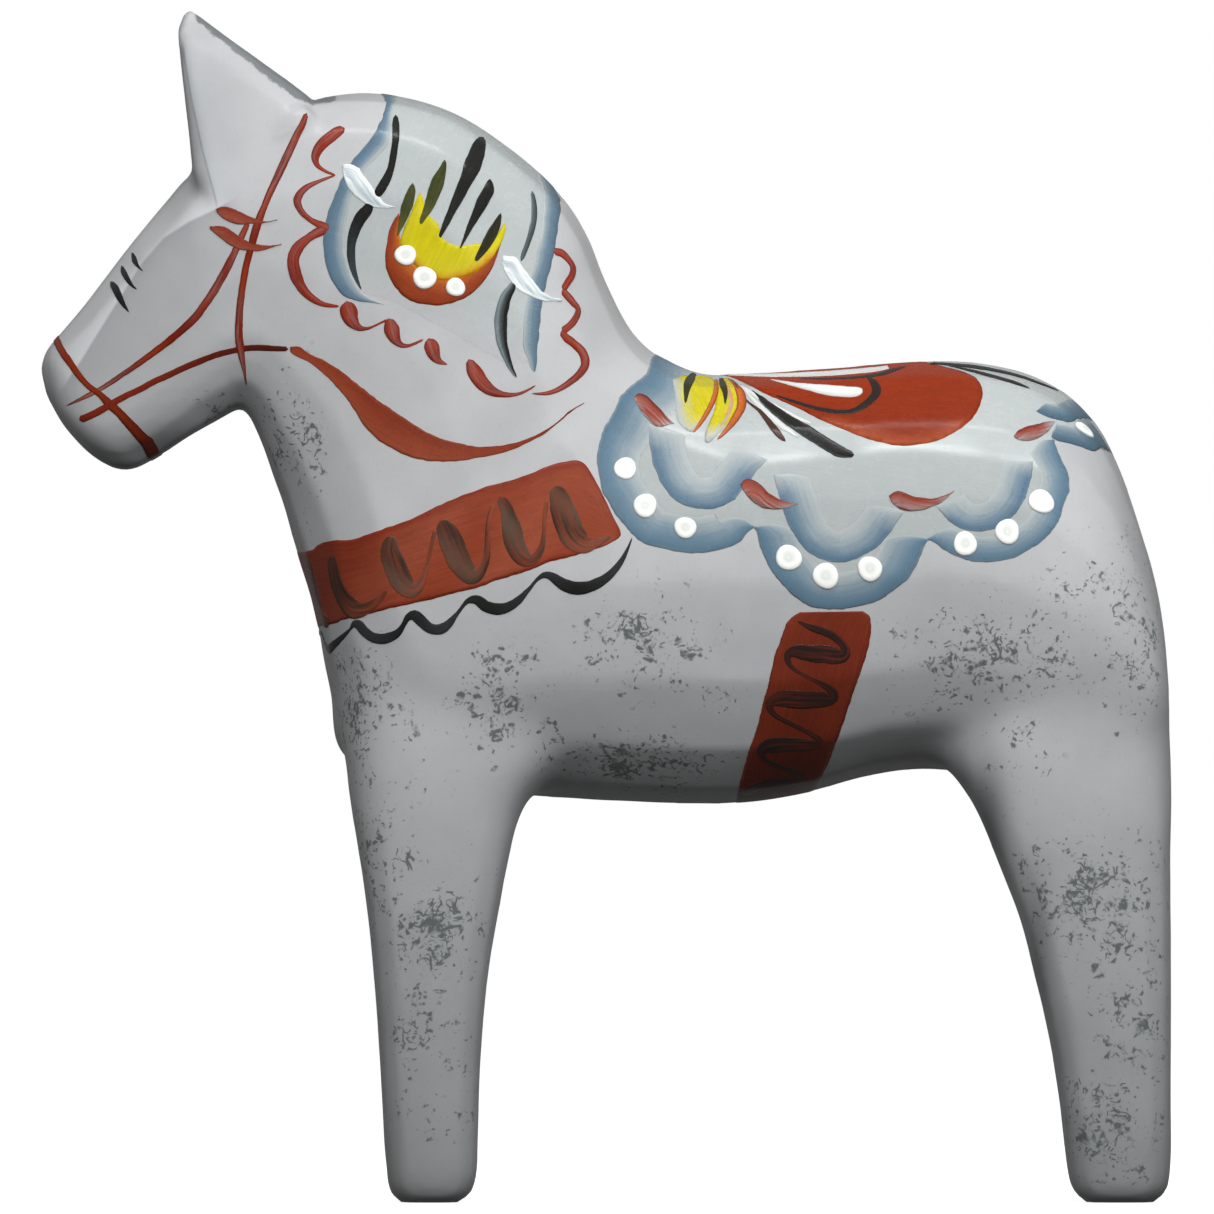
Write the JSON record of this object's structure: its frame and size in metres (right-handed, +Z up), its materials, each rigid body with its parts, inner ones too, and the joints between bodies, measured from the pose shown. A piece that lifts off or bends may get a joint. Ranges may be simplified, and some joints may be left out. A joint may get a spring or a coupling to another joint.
{
  "type": "dala horse",
  "caption": "Carved wooden folk-art horse standing on straight legs, with brush-painted mane, bridle, breast collar, saddle blanket and girth on a sponged grey ground.",
  "frame": {"origin": "centre of the length and width, on the plane that the four soles stand on", "axes": "+Z up, -X towards the muzzle, +X towards the rump, +Y towards the horse's right side"},
  "size_m": [0.1612, 0.0512, 0.17],
  "materials": {
    "carved_wood": "pine under sponged grey paint, satin varnish",
    "pale_field_paint": "thin brushed paint, satin varnish",
    "blue_paint": "blended dusty blue brush strokes, satin varnish",
    "black_paint": "raised brush strokes, satin varnish",
    "white_paint": "thick raised paint, satin varnish",
    "red_paint": "raised brush strokes, satin varnish",
    "rust_paint": "flat brushed band, satin varnish",
    "orange_paint": "brushed paint shading from red to orange, satin varnish",
    "yellow_paint": "brushed paint, satin varnish",
    "brown_paint": "thin translucent brush strokes, satin varnish",
    "olive_paint": "raised brush strokes, satin varnish"
  },
  "bodies": {
    "root": {"carved_body": "carved_wood", "mane_panel": "pale_field_paint", "mane_locks": "blue_paint", "mane_lock_lines": "black_paint", "mane_feathers": "white_paint", "mane_scroll": "red_paint", "flower_cup": "orange_paint", "flower_petals": "yellow_paint", "flower_seeds": "black_paint", "flower_dots": "white_paint", "bridle_straps": "red_paint", "bridle_bow": "rust_paint", "nose_strokes": "black_paint", "neck_sash": "rust_paint", "breast_collar": "rust_paint", "collar_scroll": "brown_paint", "collar_fringe": "black_paint", "saddle_blanket": "pale_field_paint", "blanket_scallops": "blue_paint", "blanket_dots": "white_paint", "blanket_tassels": "rust_paint", "saddle_seat": "red_paint", "seat_highlights": "white_paint", "seat_line": "brown_paint", "saddle_reeds": "black_paint", "withers_petals": "yellow_paint", "withers_seeds": "olive_paint", "girth_band": "rust_paint", "girth_scroll": "brown_paint"}
  },
  "joints": []
}
